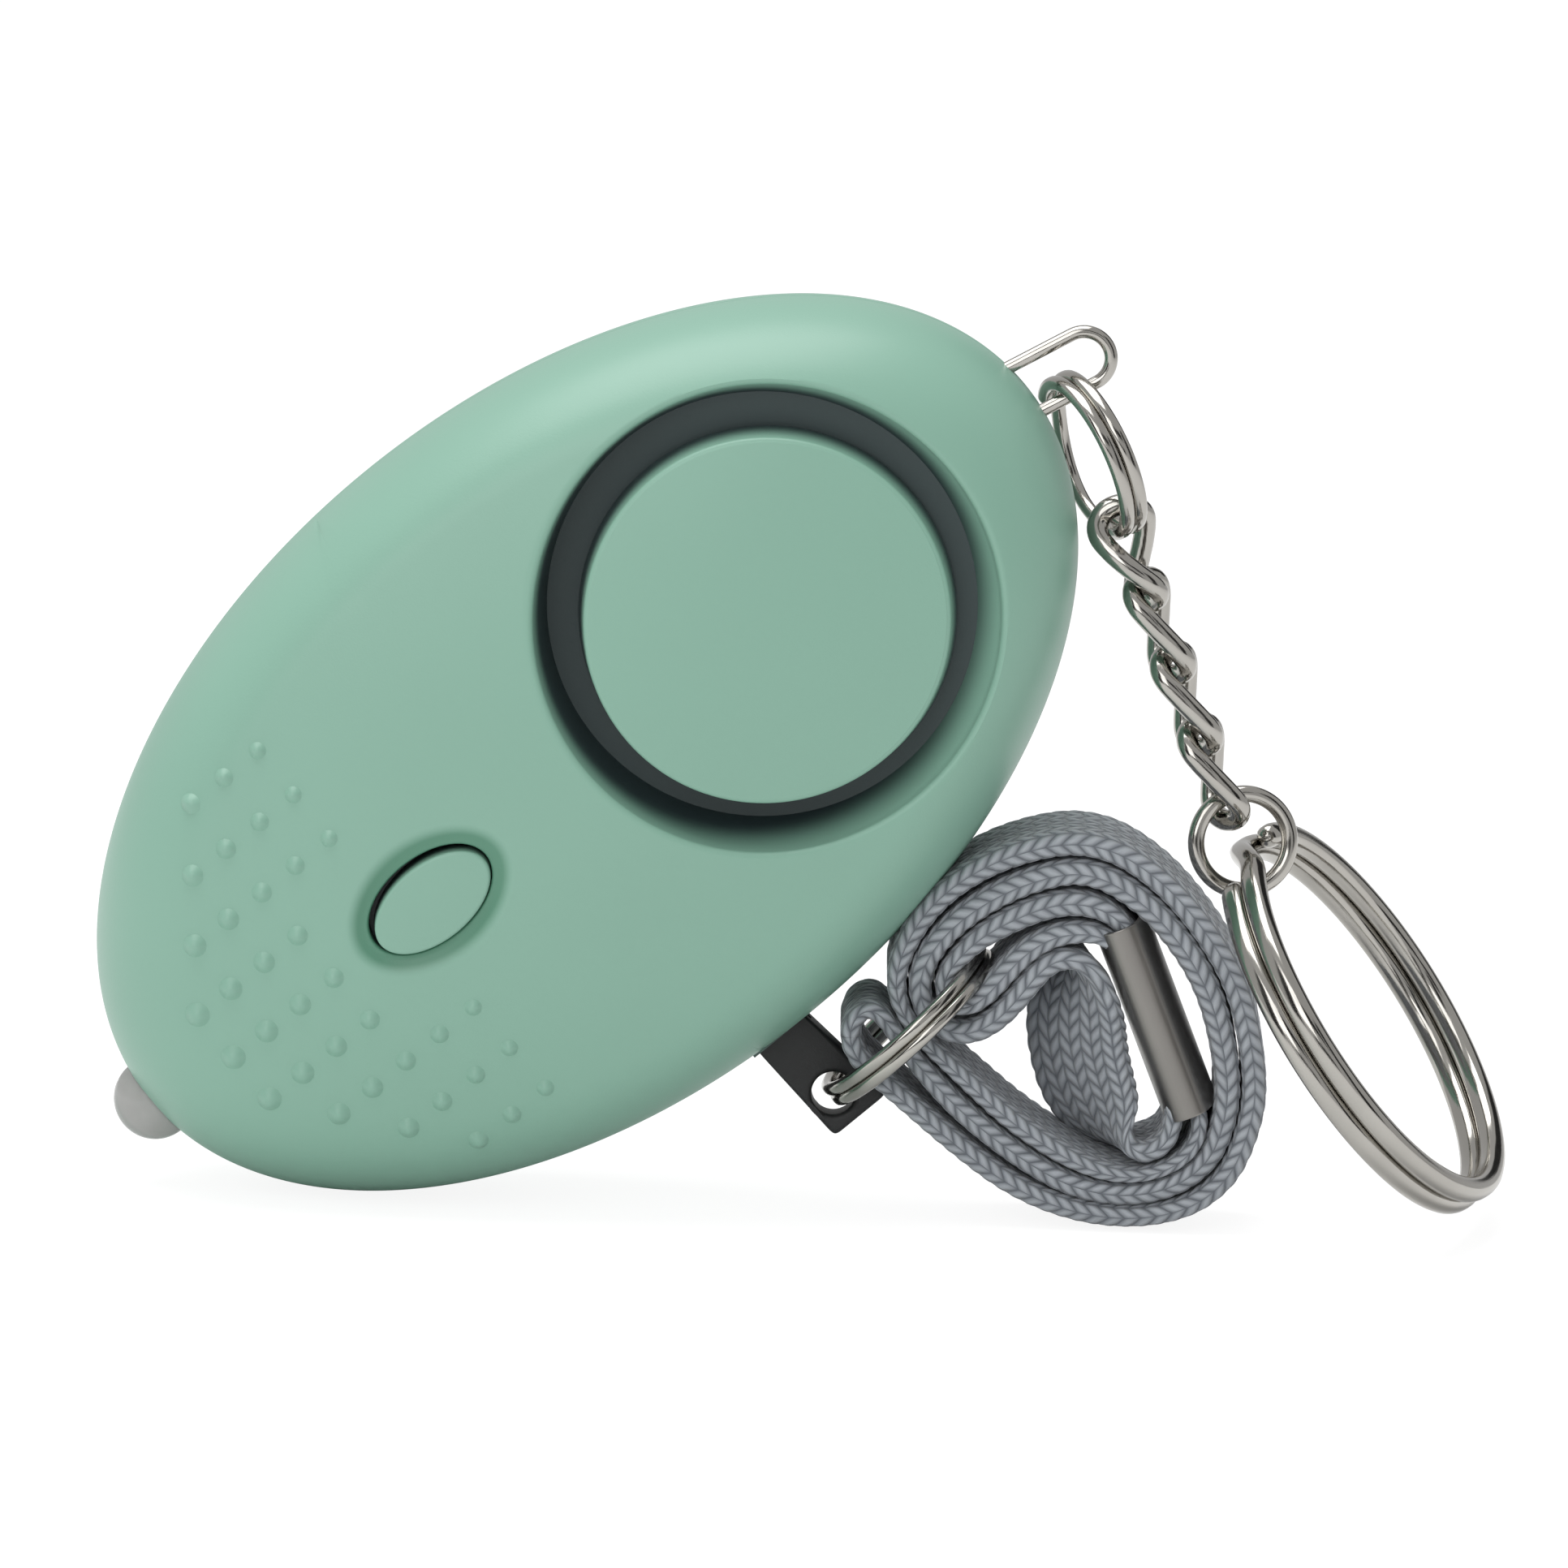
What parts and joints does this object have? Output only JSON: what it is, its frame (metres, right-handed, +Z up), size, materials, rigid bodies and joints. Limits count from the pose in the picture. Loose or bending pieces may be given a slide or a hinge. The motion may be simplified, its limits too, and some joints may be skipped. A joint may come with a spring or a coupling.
{
  "type": "personal safety alarm",
  "caption": "Pebble-shaped personal safety alarm with a round sounder, torch lamp and button, pull pin on a wrist strap, and a split key ring on a twisted chain.",
  "frame": {"origin": "middle of the overall box without the strap, at the table it stands on", "axes": "+Z up; the sounder's face looks along -Y; +X runs from the lamp's end toward the key ring"},
  "size_m": [0.0851, 0.0256, 0.0552],
  "materials": {
    "mint_plastic": "satin, soft-touch",
    "dark_plastic": "matte",
    "black_plastic": "matte",
    "clear_plastic": "clear, polished",
    "white_ceramic": "matte",
    "brass": "bright",
    "board_green": "satin",
    "component_black": "matte",
    "component_blue": "gloss",
    "wire_red": "gloss",
    "steel": "satin",
    "nickel": "polished",
    "braid": "woven",
    "clamp_metal": "dull"
  },
  "bodies": {
    "case": {"front_shell": "mint_plastic", "rear_shell": "mint_plastic", "horn_ring": "dark_plastic", "sounder_cap": "mint_plastic", "piezo_plate": "brass", "piezo_ceramic": "white_ceramic", "switch_body": "steel", "lamp": "clear_plastic", "lamp_leads": "nickel", "circuit_board": "board_green", "inductor": "component_black", "driver_chip": "component_black", "capacitor": "component_blue", "battery_cells": "steel", "battery_contacts": "nickel", "pin_contacts": "brass", "piezo_leads": "wire_red", "case_screws": "steel", "bail": "nickel"},
    "button": {"light_button": "mint_plastic", "switch_plunger": "black_plastic"},
    "pin": {"pull_pin": "black_plastic"},
    "strap": {"pin_ring": "nickel", "wrist_strap": "braid", "strap_crimp": "clamp_metal"},
    "jump": {"jump_ring": "nickel"},
    "link_1": {"chain_link_1": "nickel"},
    "link_2": {"chain_link_2": "nickel"},
    "link_3": {"chain_link_3": "nickel"},
    "link_4": {"chain_link_4": "nickel"},
    "end": {"end_link": "nickel"},
    "ring": {"key_ring": "nickel"}
  },
  "joints": [
    {"name": "button_press", "type": "slide", "parent": "case", "child": "button", "axis": [0, 1, 0], "range_m": [0, 0.0005], "stiffness_N_per_m": 300},
    {"name": "pin_pull", "type": "slide", "parent": "case", "child": "pin", "axis": [0.6691, 0, -0.7431], "range_m": [0, 0.008]},
    {"name": "strap_swing", "type": "hinge", "parent": "pin", "child": "strap", "pos_m": [0.00191, 0, 0.00702], "axis": [-0.7071, 0, 0.7071], "range_deg": [-5, 20]},
    {"name": "jump_swing", "type": "hinge", "parent": "case", "child": "jump", "pos_m": [0.01427, 0, 0.04966], "axis": [0.866, 0, 0.5], "range_deg": [-8, 2]},
    {"name": "link_1_swing", "type": "hinge", "parent": "jump", "child": "link_1", "pos_m": [0.01729, 0, 0.0432], "axis": [0.9239, 0, 0.3827], "range_deg": [-12, 0]},
    {"name": "link_2_swing", "type": "hinge", "parent": "link_1", "child": "link_2", "pos_m": [0.01909, 0, 0.03886], "axis": [0.6533, 0.7071, 0.2706], "range_deg": [-12, 0]},
    {"name": "link_3_swing", "type": "hinge", "parent": "link_2", "child": "link_3", "pos_m": [0.02089, 0, 0.03451], "axis": [0.6533, 0.7071, 0.2706], "range_deg": [-12, 0]},
    {"name": "link_4_swing", "type": "hinge", "parent": "link_3", "child": "link_4", "pos_m": [0.02269, 0, 0.03017], "axis": [0.6533, 0.7071, 0.2706], "range_deg": [-12, 0]},
    {"name": "end_swing", "type": "hinge", "parent": "link_4", "child": "end", "pos_m": [0.02452, 0, 0.02574], "axis": [0.8606, 0.2588, 0.4385], "range_deg": [-12, 1]},
    {"name": "ring_swing", "type": "hinge", "parent": "end", "child": "ring", "pos_m": [0.02616, 0, 0.02253], "axis": [0.1797, 0.9744, 0.1354], "range_deg": [-12, 2]}
  ]
}
